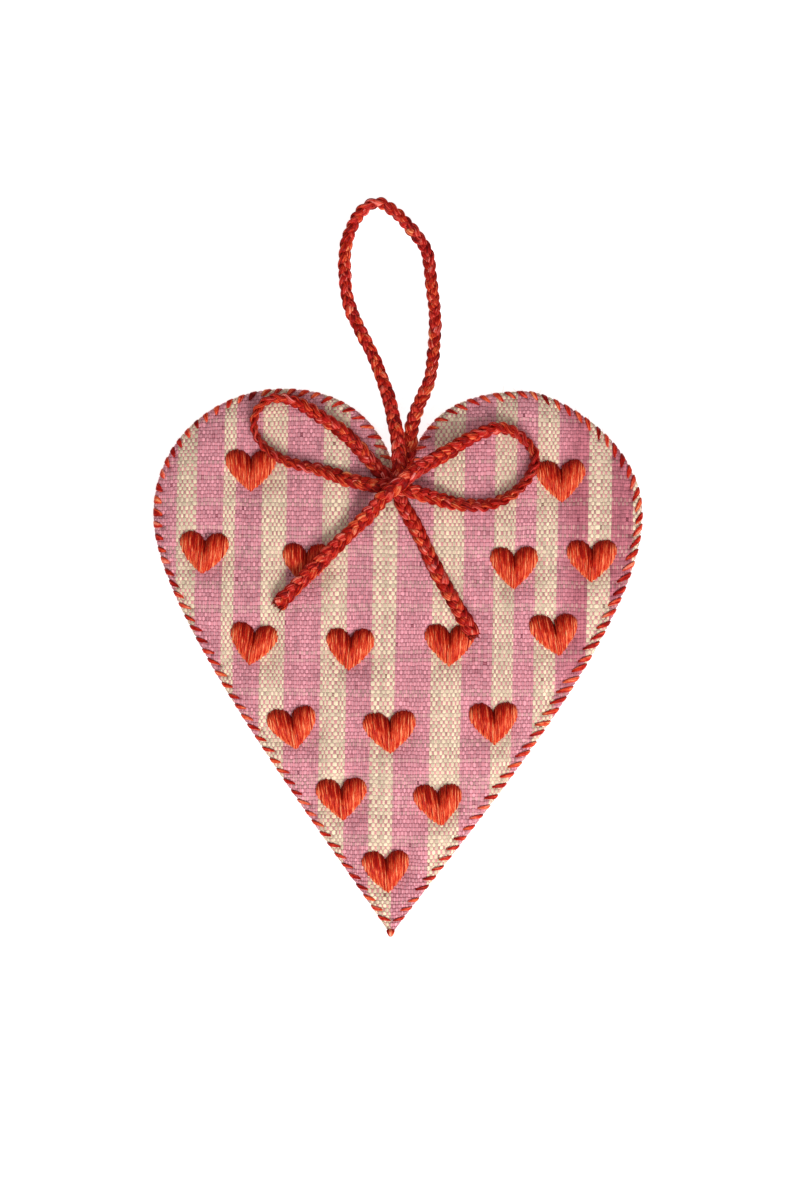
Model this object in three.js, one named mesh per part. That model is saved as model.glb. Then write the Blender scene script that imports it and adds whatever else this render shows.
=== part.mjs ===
// A heart-shaped hanging ornament: a thin padded heart covered in striped woven raffia, overcast
// round its edge, with small satin-stitched hearts, a plaited hanging loop and a plaited bow.
// Units are millimetres. The heart lies on its back at z = 0, its point towards -Y.

import * as THREE from 'three';

// Padded heart
const TIP = [-3, -112.5];
const NOTCH = [0, 74];
const LEFT_HALF = {
  tipHandle: [-31, 47],
  side: [-100.5, 60],
  sideHandles: [40, 33],
  top: [-47, 112],
  topHandles: [26, 24],
  notchHandle: [-6, 26],
};
const RIGHT_HALF = {
  tipHandle: [37, 49],
  side: [100.5, 60],
  sideHandles: [45, 33],
  top: [53, 111],
  topHandles: [9, 42],
  notchHandle: [9, 15],
};
const MIDDLE = [0, 20];
const EDGE_BOTTOM = 1.0;
const EDGE_TOP = 6.6;
const EDGE_MIDDLE = (EDGE_BOTTOM + EDGE_TOP) / 2;
const EDGE_ROUND = 0.5;
const EDGE_BEVEL = 1.0;
const SHOULDER_INSET = 9;
const SHOULDER_RISE = 0.6;
const CROWN = 2.0;
const CROWN_REACH = [105, 135];
const FACE_RINGS = [0.74, 0.46, 0.2];
const CURVE_DIVISIONS = 400;
const TIP_MARGIN = 1.02;

// Overcast stitches
const STITCHES_PER_SIDE = 65;
const FIRST_STITCH = 6.6;
const LAST_STITCH = 7.0;
const HOLE_INSET = 3.3;
const STITCH_LEAN = 3.4;
const THREAD_THICK = 0.6;
const THREAD_WIDE = 1.9;
const THREAD_NARROW = 0.8;
const CLEARANCE = 0.3;

// Satin-stitched hearts: centre, width over height and turn of each
const SATIN_SIZE = [19.4, 17.2];
const SATIN_RISE = 1.9;
const SATIN_EDGE = 0.8;
const SATIN_POINTS = 18;
const SATIN_RINGS = [{ scale: 0.97, lift: SATIN_EDGE }, { scale: 0.62, lift: SATIN_RISE * 0.9 }];
// Its right half from the point up, in shares of its width and height: two handles and an end each
const SATIN_POINT = [0, -0.5];
const SATIN_CURVES = [
  [[0.2, -0.34], [0.5, -0.02], [0.5, 0.2]],
  [[0.5, 0.44], [0.38, 0.5], [0.27, 0.5]],
  [[0.14, 0.5], [0.03, 0.42], [0, 0.28]],
];
const SATIN_HEARTS = [
  [-60.3, 78.9, -2], [66.8, 74.4, 3],
  [-80.0, 44.9, 0], [-37.6, 40.2, 2], [47.6, 38.8, 0], [79.5, 41.6, 0],
  [-59.5, 7.2, 2], [-19.7, 5.5, 0], [20.9, 8.0, -2], [63.6, 11.3, 3],
  [-43.5, -26.9, 2], [-3.3, -28.5, 0], [39.0, -24.8, 0],
  [-23.0, -56.0, 4], [16.4, -58.0, -2],
  [-4.9, -85.5, 3],
];

// Plaited cords: diameter and route, from end to end
const LOOP_DIAMETER = 5.4;
const LOOP_STEPS = 28;
const LOOP_ROUTE = [
  [0.5, 75.6, 16.2], [0.3, 83.4, 16.0], [-0.3, 92.5, 14.0], [-1.8, 99.0, 11.9],
  [-4.9, 111.3, 7.8], [-9.4, 123.6, 4.7], [-15.5, 135.9, 2.9], [-20.5, 148.2, 2.9],
  [-21.9, 158.5, 2.9], [-20.9, 172.8, 2.9], [-16.0, 184.0, 2.9], [-9.0, 188.6, 2.9],
  [-2.0, 185.4, 2.9], [6.2, 176.9, 2.9], [11.7, 168.7, 2.9], [13.7, 156.4, 2.9],
  [15.2, 140.0, 2.9], [14.7, 127.7, 3.6], [12.7, 115.4, 6.0], [8.6, 105.2, 8.4],
  [5.6, 96.5, 10.1], [4.6, 87.5, 11.2], [3.0, 79.2, 11.3],
];
const BOW_DIAMETER = 4.4;
const BOW_STEPS = 54;
const BOW_ROUTE = [
  [-48.8, 23.6, 11.4], [-43.5, 28.8, 12.2], [-35.0, 37.4, 13.8], [-25.0, 47.5, 12.9],
  [-13.1, 58.8, 15.2], [-5.3, 67.4, 20.4], [-0.5, 71.4, 21.3], [3.9, 75.2, 21.2],
  [9.4, 79.2, 19.6], [19.0, 84.8, 15.4], [32.3, 92.6, 11.9], [42.0, 95.6, 11.2],
  [50.8, 91.4, 11.2], [56.0, 83.4, 11.2], [53.4, 75.4, 11.3], [46.5, 68.4, 11.4],
  [37.7, 64.4, 11.6], [26.0, 64.2, 12.2], [14.0, 67.0, 14.2], [5.1, 69.7, 16.0],
  [-1.0, 71.4, 16.3], [-7.8, 71.6, 15.6], [-19.0, 73.9, 12.4], [-32.0, 78.4, 11.4],
  [-44.3, 81.4, 11.9], [-52.0, 85.6, 12.6], [-58.0, 92.6, 11.6], [-58.4, 101.0, 10.8],
  [-52.4, 107.3, 10.6], [-43.0, 106.6, 10.8], [-32.0, 100.2, 11.2], [-20.5, 92.0, 11.4],
  [-12.0, 82.8, 11.5], [-6.5, 76.6, 11.5], [-0.8, 71.2, 11.5], [1.6, 64.8, 11.5],
  [9.4, 50.6, 11.6], [16.5, 35.5, 12.0], [24.0, 22.6, 13.6], [30.6, 11.0, 13.8],
];
const CORD_SIDES = 8;

const CLOTH = { color: 0xc67d89, roughness: 0.85, metalness: 0 };
const RAFFIA = { color: 0xb33626, roughness: 0.6, metalness: 0 };

// One side of the outline, from the point up to the notch
function halfOutline(half, side) {
  const curve = new THREE.CurvePath();
  const joints = [TIP, half.side, half.top, NOTCH];
  const handles = [
    [[TIP[0] + half.tipHandle[0], TIP[1] + half.tipHandle[1]],
      [half.side[0], half.side[1] - half.sideHandles[0]]],
    [[half.side[0], half.side[1] + half.sideHandles[1]],
      [half.top[0] + side * half.topHandles[0], half.top[1]]],
    [[half.top[0] - side * half.topHandles[1], half.top[1]],
      [NOTCH[0] + half.notchHandle[0], NOTCH[1] + half.notchHandle[1]]],
  ];
  handles.forEach((pair, i) => {
    const points = [joints[i], ...pair, joints[i + 1]].map(([x, y]) => new THREE.Vector2(x, y));
    const piece = new THREE.CubicBezierCurve(...points);
    piece.arcLengthDivisions = CURVE_DIVISIONS;
    curve.add(piece);
  });
  return curve;
}

const sides = [
  { curve: halfOutline(RIGHT_HALF, 1), side: 1 },
  { curve: halfOutline(LEFT_HALF, -1), side: -1 },
];
for (const each of sides) {
  each.length = each.curve.getLength();
  each.pitch = (each.length - FIRST_STITCH - LAST_STITCH) / (STITCHES_PER_SIDE - 1);
}

// Point of one side at a distance along it from the tip, moved inwards by inset
function edgePoint(each, along, inset) {
  const at = THREE.MathUtils.clamp(along / each.length, 0, 1);
  const point = each.curve.getPointAt(at);
  const tangent = each.curve.getTangentAt(at);
  const beyond = along - at * each.length;
  point.addScaledVector(tangent, beyond);
  const inward = new THREE.Vector2(-tangent.y, tangent.x).multiplyScalar(each.side);
  return point.addScaledVector(inward, inset);
}

// Directions in which the two corners of the outline move when it is inset
const tipStart = sides.map((each) => each.curve.getTangentAt(0));
const tipAxis = tipStart[0].clone().add(tipStart[1]).normalize();
const tipHalfAngle = Math.acos(tipAxis.dot(tipStart[0]));
const notchEnd = sides.map((each) => each.curve.getTangentAt(1));
const notchAxis = notchEnd[0].clone().add(notchEnd[1]).normalize();

function crownAt(x, y) {
  const [reachX, reachY] = CROWN_REACH;
  return CROWN * Math.max(0, 1 - (x / reachX) ** 2 - ((y - MIDDLE[1]) / reachY) ** 2);
}

// Height of the front face inside the shoulder
function faceHeight(x, y) {
  return EDGE_TOP + SHOULDER_RISE + crownAt(x, y);
}

function tipVertex(inset) {
  return new THREE.Vector2(...TIP).addScaledVector(tipAxis, inset / Math.sin(tipHalfAngle));
}

function notchVertex(inset) {
  return new THREE.Vector2(...NOTCH).addScaledVector(notchAxis, inset);
}

// A closed shape gathered as rings of points; each ring point knows its place round the outline
class Shell {
  constructor() {
    this.positions = [];
    this.faces = [];
  }

  point(x, y, z) {
    this.positions.push(x, y, z);
    return this.positions.length / 3 - 1;
  }

  ring(points, height) {
    return points.map(({ at, xy }) => ({ at, id: this.point(xy.x, xy.y, height(xy.x, xy.y)) }));
  }

  face(a, b, c, flip) {
    this.faces.push(...(flip ? [a, c, b] : [a, b, c]));
  }

  // Joins two rings with any numbers of points, the first one outside the second
  join(outer, inner, flip = false) {
    let i = 0;
    let j = 0;
    const next = (ring, k) => (k + 1 < ring.length ? ring[k + 1].at : ring[0].at + 1);
    while (i < outer.length || j < inner.length) {
      const a = outer[i % outer.length].id;
      const b = inner[j % inner.length].id;
      const onOuter = j >= inner.length || (i < outer.length && next(outer, i) <= next(inner, j));
      if (onOuter) {
        i += 1;
        this.face(a, outer[i % outer.length].id, b, flip);
      } else {
        j += 1;
        this.face(a, inner[j % inner.length].id, b, flip);
      }
    }
  }

  fan(ring, centre, flip = false) {
    ring.forEach(({ id }, i) => this.face(id, ring[(i + 1) % ring.length].id, centre, flip));
  }

  geometry() {
    const geometry = new THREE.BufferGeometry();
    geometry.setAttribute('position', new THREE.Float32BufferAttribute(this.positions, 3));
    geometry.setIndex(this.faces);
    geometry.computeVertexNormals();
    return geometry;
  }
}

function mesh(name, geometry, look) {
  const piece = new THREE.Mesh(geometry, new THREE.MeshStandardMaterial(look));
  piece.name = name;
  return piece;
}

// Points round the whole outline at one inset: the tip, up the right side, the notch, down the left.
// Each stitch gives one point for each of the offsets, and points that would cross at the tip go.
function outlinePoints(inset, offsets) {
  const points = [{ at: 0, xy: tipVertex(inset) }];
  const crossing = (TIP_MARGIN * inset) / Math.tan(tipHalfAngle);
  sides.forEach((each, index) => {
    const found = [];
    for (let i = 0; i < STITCHES_PER_SIDE; i += 1) {
      for (const offset of offsets) {
        const along = FIRST_STITCH + i * each.pitch + offset;
        const share = along / each.length / 2;
        const at = index === 0 ? share : 1 - share;
        if (along > crossing) found.push({ at, xy: edgePoint(each, along, inset) });
      }
    }
    if (index === 1) {
      points.push({ at: 0.5, xy: notchVertex(inset) });
      found.reverse();
    }
    points.push(...found);
  });
  return points;
}

function heartBody() {
  const shell = new Shell();
  const holeHalf = THREAD_NARROW / 2 + CLEARANCE;
  const holeOuter = HOLE_INSET - THREAD_THICK / 2 - CLEARANCE;
  const holeInner = HOLE_INSET + THREAD_THICK / 2 + CLEARANCE;
  const pair = [-holeHalf, holeHalf];
  const rounded = outlinePoints(EDGE_ROUND, [0]);
  const upper = shell.ring(rounded, (x, y) => EDGE_TOP - EDGE_BEVEL + crownAt(x, y));
  const middle = shell.ring(outlinePoints(0, [0]), (x, y) => EDGE_MIDDLE + crownAt(x, y) / 2);
  const lower = shell.ring(rounded, () => EDGE_BOTTOM + EDGE_BEVEL);
  const holeRings = [holeOuter, holeInner].map((inset) => outlinePoints(inset, pair));
  const front = holeRings.map((ring) => shell.ring(ring, (x, y) => EDGE_TOP + crownAt(x, y)));
  const back = holeRings.map((ring) => shell.ring(ring, () => EDGE_BOTTOM));

  shell.join(upper, front[0]);
  shell.join(middle, upper);
  shell.join(middle, lower, true);
  shell.join(lower, back[0], true);

  // The strip with the stitch holes, on both faces, and the walls of each hole
  const count = front[0].length;
  const quad = (a, b, c, d) => {
    shell.face(a, b, c);
    shell.face(a, c, d);
  };
  for (let i = 0; i < count; i += 1) {
    const k = (i + 1) % count;
    const [f0, f1, f2, f3] = [front[0][i], front[0][k], front[1][k], front[1][i]].map((p) => p.id);
    const [b0, b1, b2, b3] = [back[0][i], back[0][k], back[1][k], back[1][i]].map((p) => p.id);
    const perSide = STITCHES_PER_SIDE * 2;
    const inSide = i <= perSide ? i - 1 : i - perSide - 2;
    const isHole = i !== 0 && i !== perSide + 1 && inSide % 2 === 0;
    if (isHole) {
      quad(f1, b1, b0, f0);
      quad(f2, b2, b1, f1);
      quad(f3, b3, b2, f2);
      quad(f0, b0, b3, f3);
    } else {
      quad(f0, f1, f2, f3);
      quad(b3, b2, b1, b0);
    }
  }

  const shoulder = outlinePoints(SHOULDER_INSET, [0]);
  let outer = shell.ring(shoulder, faceHeight);
  shell.join(front[1], outer);
  FACE_RINGS.forEach((scale, step) => {
    const kept = shoulder.filter((_, i) => i % (2 + step) === 0);
    const scaled = kept.map(({ at, xy }) => ({
      at,
      xy: new THREE.Vector2(
        MIDDLE[0] + scale * (xy.x - MIDDLE[0]),
        MIDDLE[1] + scale * (xy.y - MIDDLE[1]),
      ),
    }));
    const inner = shell.ring(scaled, faceHeight);
    shell.join(outer, inner);
    outer = inner;
  });
  shell.fan(outer, shell.point(...MIDDLE, faceHeight(...MIDDLE)));

  const flat = shell.ring(shoulder, () => 0);
  shell.join(back[1], flat, true);
  shell.fan(flat, shell.point(...MIDDLE, 0), true);
  return mesh('heart_body', shell.geometry(), CLOTH);
}

// One thread whipped over the edge of one side. Every turn comes up through its hole, crosses the
// front to the edge, wraps round it and crosses the back to the next hole. Each ring of the thread
// is a triangle: two corners lie towards the edge of the heart and the third stands away from it.
function edgeStitching(name, each) {
  const shell = new Shell();
  const base = HOLE_INSET - THREAD_THICK / 2;
  const apex = HOLE_INSET + THREAD_THICK / 2;
  const rings = [];
  const addRing = (along, width, inner, outer, innerLift, outerLift) => {
    const corner = (shift, inset, lift) => {
      const xy = edgePoint(each, along + shift, inset);
      const crown = lift.front ? crownAt(xy.x, xy.y) * lift.front : 0;
      return shell.point(xy.x, xy.y, lift.z + crown);
    };
    const ring = [
      corner(-width / 2, inner, innerLift),
      corner(width / 2, inner, innerLift),
      corner(0, outer, outerLift),
    ];
    rings.push(ring);
  };
  const under = { z: EDGE_BOTTOM - CLEARANCE };
  const deepUnder = { z: EDGE_BOTTOM - CLEARANCE - THREAD_THICK };
  const over = { z: EDGE_TOP + CLEARANCE, front: 1 };
  const highOver = { z: EDGE_TOP + CLEARANCE + THREAD_THICK, front: 1 };
  const rimTop = { z: EDGE_TOP - EDGE_BEVEL + CLEARANCE, front: 1 };
  const rimBottom = { z: EDGE_BOTTOM + EDGE_BEVEL - CLEARANCE };
  addRing(FIRST_STITCH, THREAD_NARROW, base, apex, { z: EDGE_BOTTOM }, { z: EDGE_BOTTOM });
  for (let i = 0; i < STITCHES_PER_SIDE; i += 1) {
    const hole = FIRST_STITCH + i * each.pitch;
    const wrap = hole + STITCH_LEAN;
    const outside = -CLEARANCE - THREAD_THICK;
    addRing(hole, THREAD_NARROW, base, apex, over, highOver);
    addRing(wrap, THREAD_WIDE, -CLEARANCE, outside, rimTop, rimTop);
    addRing(wrap + CLEARANCE, THREAD_WIDE, -CLEARANCE, outside, rimBottom, rimBottom);
    const next = i < STITCHES_PER_SIDE - 1 ? hole + each.pitch : hole + STITCH_LEAN / 2;
    addRing(next, THREAD_NARROW, base, apex, under, deepUnder);
  }
  const flip = each.side < 0;
  rings.slice(1).forEach((ring, i) => {
    const before = rings[i];
    for (let k = 0; k < ring.length; k += 1) {
      const n = (k + 1) % ring.length;
      shell.face(before[k], before[n], ring[n], flip);
      shell.face(before[k], ring[n], ring[k], flip);
    }
  });
  const end = rings[rings.length - 1];
  shell.face(rings[0][2], rings[0][1], rings[0][0], flip);
  shell.face(end[0], end[1], end[2], flip);
  return mesh(name, shell.geometry(), RAFFIA);
}

// A small domed heart that follows the face it is worked on
function satinHeart(name, [centreX, centreY, degrees]) {
  const [wide, high] = SATIN_SIZE;
  const outline = new THREE.Shape();
  const place = (sign, [x, y]) => [sign * x * wide, y * high];
  outline.moveTo(...place(1, SATIN_POINT));
  for (const [first, second, end] of SATIN_CURVES) {
    outline.bezierCurveTo(...place(1, first), ...place(1, second), ...place(1, end));
  }
  const starts = [SATIN_POINT, ...SATIN_CURVES.map((curve) => curve[2])];
  SATIN_CURVES.map((curve, i) => [curve[1], curve[0], starts[i]]).reverse().forEach((curve) => {
    outline.bezierCurveTo(...curve.flatMap((point) => place(-1, point)));
  });
  const turn = THREE.MathUtils.degToRad(degrees);
  const centre = new THREE.Vector2(centreX, centreY);
  const spaced = outline.getSpacedPoints(SATIN_POINTS).slice(0, SATIN_POINTS);
  const shell = new Shell();
  const ring = (scale, lift) => {
    const points = spaced.map((p, i) => ({
      at: i / SATIN_POINTS,
      xy: p.clone().multiplyScalar(scale).rotateAround(new THREE.Vector2(), turn).add(centre),
    }));
    return shell.ring(points, (x, y) => faceHeight(x, y) + CLEARANCE + lift);
  };
  const foot = ring(1, 0);
  const [edge, dome] = SATIN_RINGS.map(({ scale, lift }) => ring(scale, lift));
  const ground = faceHeight(centreX, centreY) + CLEARANCE;
  shell.fan(foot, shell.point(centreX, centreY, ground), true);
  shell.join(foot, edge);
  shell.join(edge, dome);
  shell.fan(dome, shell.point(centreX, centreY, ground + SATIN_RISE));
  return mesh(name, shell.geometry(), RAFFIA);
}

function cord(name, route, diameter, steps) {
  const path = new THREE.CatmullRomCurve3(route.map((p) => new THREE.Vector3(...p)), false, 'centripetal');
  const section = new THREE.Shape();
  for (let i = 0; i < CORD_SIDES; i += 1) {
    const angle = (i * 2 * Math.PI) / CORD_SIDES;
    const [x, y] = [Math.cos(angle) * diameter / 2, Math.sin(angle) * diameter / 2];
    if (i === 0) section.moveTo(x, y);
    else section.lineTo(x, y);
  }
  section.closePath();
  const tube = new THREE.ExtrudeGeometry(section, { steps, extrudePath: path, bevelEnabled: false });
  return mesh(name, tube, RAFFIA);
}

const ornament = new THREE.Group();
ornament.add(heartBody());
ornament.add(edgeStitching('edge_stitching_right', sides[0]));
ornament.add(edgeStitching('edge_stitching_left', sides[1]));
SATIN_HEARTS.forEach((place, i) => {
  ornament.add(satinHeart(`embroidered_heart_${String(i + 1).padStart(2, '0')}`, place));
});
ornament.add(cord('hanging_loop', LOOP_ROUTE, LOOP_DIAMETER, LOOP_STEPS));
ornament.add(cord('bow', BOW_ROUTE, BOW_DIAMETER, BOW_STEPS));

export default ornament;
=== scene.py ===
import math

import bpy
import numpy as np
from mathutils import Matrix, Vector
from mathutils.bvhtree import BVHTree
from mathutils.geometry import delaunay_2d_cdt
from mathutils.kdtree import KDTree


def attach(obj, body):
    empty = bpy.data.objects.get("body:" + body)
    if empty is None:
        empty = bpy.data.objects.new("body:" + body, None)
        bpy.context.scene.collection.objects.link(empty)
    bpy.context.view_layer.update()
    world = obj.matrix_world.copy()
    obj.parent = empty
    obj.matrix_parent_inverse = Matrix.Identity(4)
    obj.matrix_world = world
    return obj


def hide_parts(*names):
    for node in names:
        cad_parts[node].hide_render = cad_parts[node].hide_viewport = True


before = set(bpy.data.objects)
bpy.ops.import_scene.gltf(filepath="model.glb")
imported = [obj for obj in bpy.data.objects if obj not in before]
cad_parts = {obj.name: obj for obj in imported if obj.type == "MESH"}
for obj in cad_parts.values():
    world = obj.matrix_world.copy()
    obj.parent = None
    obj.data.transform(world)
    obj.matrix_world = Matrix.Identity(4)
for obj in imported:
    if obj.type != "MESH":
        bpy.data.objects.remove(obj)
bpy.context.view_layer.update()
bpy.ops.object.select_all(action="DESELECT")

# The view, as the photograph has it: so many metres to one of its pixels at the height of the cloth

view = {
    "pixels": (800, 1200),
    "metresPerPixel": 0.00041,
    "middle": (0.0008, 0.0252),
    "distance": 1.2,
    "clothHeight": 0.007,
    "sensor": 36,
}


def addCamera():
    x, y = view["middle"]
    place = (x, y, view["clothHeight"] + view["distance"])
    bpy.ops.object.camera_add(location=place, rotation=(0, 0, 0))
    camera = bpy.context.object
    camera.data.sensor_width = view["sensor"]
    camera.data.lens = view["sensor"] * view["distance"] / (view["pixels"][1] * view["metresPerPixel"])
    bpy.context.scene.camera = camera


addCamera()
print("camera placed")

# Materials: a wire is an output socket that arithmetic works on, a look is one material


class Wire:
    def __init__(self, look, socket):
        self.look = look
        self.socket = socket

    def __add__(self, other):
        return self.look.math("ADD", self, other)

    def __sub__(self, other):
        return self.look.math("SUBTRACT", self, other)

    def __rsub__(self, other):
        return self.look.math("SUBTRACT", other, self)

    def __mul__(self, other):
        return self.look.math("MULTIPLY", self, other)

    def __truediv__(self, other):
        return self.look.math("DIVIDE", self, other)

    __radd__ = __add__
    __rmul__ = __mul__


class Look:
    def __init__(self, name, roughness):
        self.material = bpy.data.materials.new(name)
        self.material.use_nodes = True
        self.tree = self.material.node_tree
        self.shader = self.tree.nodes["Principled BSDF"]
        self.fix("Roughness", roughness)

    # Adds a node: its settings first, then a value or a wire for each socket; gives one output
    def node(self, kind, settings, sockets, output=0):
        made = self.tree.nodes.new(kind)
        for name, value in settings.items():
            if name == "stops":
                ramp = made.color_ramp
                while len(ramp.elements) < len(value):
                    ramp.elements.new(1)
                for element, (place, colour) in zip(ramp.elements, value):
                    element.position = place
                    element.color = (*colour, 1)
            elif name == "interpolation":
                made.color_ramp.interpolation = value
            else:
                setattr(made, name, value)
        for name, value in sockets.items():
            if isinstance(value, Wire):
                self.tree.links.new(value.socket, made.inputs[name])
            else:
                made.inputs[name].default_value = value
        return Wire(self, made.outputs[output])

    def math(self, operation, *values):
        return self.node("ShaderNodeMath", {"operation": operation}, dict(enumerate(values)))

    def noise(self, detail, *place):
        spot = self.node("ShaderNodeCombineXYZ", {}, dict(enumerate(place)))
        return self.node("ShaderNodeTexNoise", {}, {"Vector": spot, "Scale": 1, "Detail": detail})

    # An even random number for each whole number
    def chance(self, number, seed):
        spot = self.node("ShaderNodeCombineXYZ", {}, {0: number + 0.5, 1: seed, 2: seed * 0.37})
        return self.node("ShaderNodeTexWhiteNoise", {}, {"Vector": spot})

    def blend(self, share, first, second, how="MIX"):
        settings = {"data_type": "RGBA", "blend_type": how, "clamp_factor": True}
        return self.node("ShaderNodeMix", settings, {0: share, 6: first, 7: second}, 2)

    # From 0 to 1 as a value goes from one limit to the other, with soft ends
    def soft(self, value, low, high):
        settings = {"interpolation_type": "SMOOTHSTEP"}
        sockets = {"Value": value, "From Min": low, "From Max": high}
        return self.node("ShaderNodeMapRange", settings, sockets)

    def bump(self, height, distance):
        return self.node("ShaderNodeBump", {}, {"Height": height, "Distance": distance, "Strength": 1})

    # The two coordinates of a UV map
    def flat(self, name):
        place = self.node("ShaderNodeUVMap", {"uv_map": name}, {})
        return [self.node("ShaderNodeSeparateXYZ", {}, {0: place}, k) for k in (0, 1)]

    def feed(self, name, wire):
        self.tree.links.new(wire.socket, self.shader.inputs[name])

    def fix(self, name, value):
        self.shader.inputs[name].default_value = value


def colour(red, green, blue):
    return (red, green, blue, 1)


# Woven raffia. The cloth's own flat coordinates are in its UV map, one unit to the span below.
# A wander is a noise: its detail and how fast it changes across and up.
clothLook = {
    "span": 0.25,
    "warpPitch": 0.00094,
    "weftPitch": 0.00158,
    "slant": 0.018,
    "wander": {
        "drift": (1, 14, 22), "ripple": (2, 240, 160), "sway": (1, 30, 9), "shiver": (2, 380, 280),
    },
    "drift": 0.0030,
    "ripple": 0.0010,
    "sway": 0.0007,
    "shiver": 0.0006,
    "columnChange": 380,
    "columnSpread": 0.0014,
    "rowChange": 210,
    "rowSpread": 0.0015,
    "broadChange": 75,
    "broadSpread": 0.0035,
    "seeds": {
        "column": 3.7, "row": 8.3, "broad": 5.4, "warp": 3.1, "weft": 7.7, "cell": 1.9, "gap": 4.3,
    },
    "stripeEdges": [
        -0.0922, -0.0849, -0.0742, -0.0676, -0.0570, -0.0472, -0.0324, -0.0217, -0.0111, -0.0012,
        0.0135, 0.0254, 0.0377, 0.0463, 0.0556, 0.0644, 0.0763, 0.0857, 0.0955,
    ],
    "rise": (0.82, 0.5),  # how far the warp swings over and under the weft, and at most
    "sink": (0.70, 0.42),  # the same for the weft
    "warpArch": (0.55, 1.35),  # a thread's own roundness: its height and how wide it is
    "weftArch": (0.5, 1.2),
    "weftLead": 0.12,  # how much more of the weft shows in a pink stripe than in a cream one
    "overTop": (-0.14, 0.02),
    "streaks": {"warp": (3, 5200, 160), "weft": (3, 120, 4200)},
    "patchChange": 60,  # of the broad light and dark patches
    "pinkWarp": colour(0.80, 0.335, 0.390),
    "deepPinkWarp": colour(0.55, 0.165, 0.21),
    "deepFrom": (0.060, 0.074),
    "creamWarp": colour(0.90, 0.73, 0.51),
    "pinkWeft": colour(0.66, 0.20, 0.24),
    "creamWeft": colour(0.84, 0.50, 0.42),
    "creamWeftShare": 0.26,
    "weftPaling": 0.3,
    "weftBlush": 0.45,
    # olive and wine are the colours of painted shade. The keys from here to depth set it: the cloth
    # darkens towards them in the hollows between threads, at rare gaps, more in the pink stripes and near
    # the tip
    "olive": colour(0.44, 0.35, 0.19),
    "wine": colour(0.22, 0.04, 0.06),
    "gapAbove": 0.994,  # the chance above which a crossing is a small gap, painted dark as shade
    "gapDepth": 0.40,
    "tipFrom": (0.070, 0.105),
    "tipDepth": 0.16,
    "pinkDepth": 0.10,
    "depth": (0.10, 0.80),
    "tone": {  # how much each kind of change lightens or darkens the cloth
        # the warp share lightens the cloth where the warp lies on top: painted light on the raised floats
        # and painted shade on the weft lying lower between them
        "base": 0.51, "stripe": 0.03, "thread": 0.26, "warp": 0.06, "streak": 0.46, "patch": 0.24,
        "cell": 0.38, "stripeCell": 0.08,
    },
    "fibreHeight": 0.22,
    "patchHeight": 0.35,
    "threadHeight": 0.00027,
    "roughness": 0.80,
    "polish": 0.16,
    "roughStreak": 0.1,
    "specular": 0.2,
}


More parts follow.
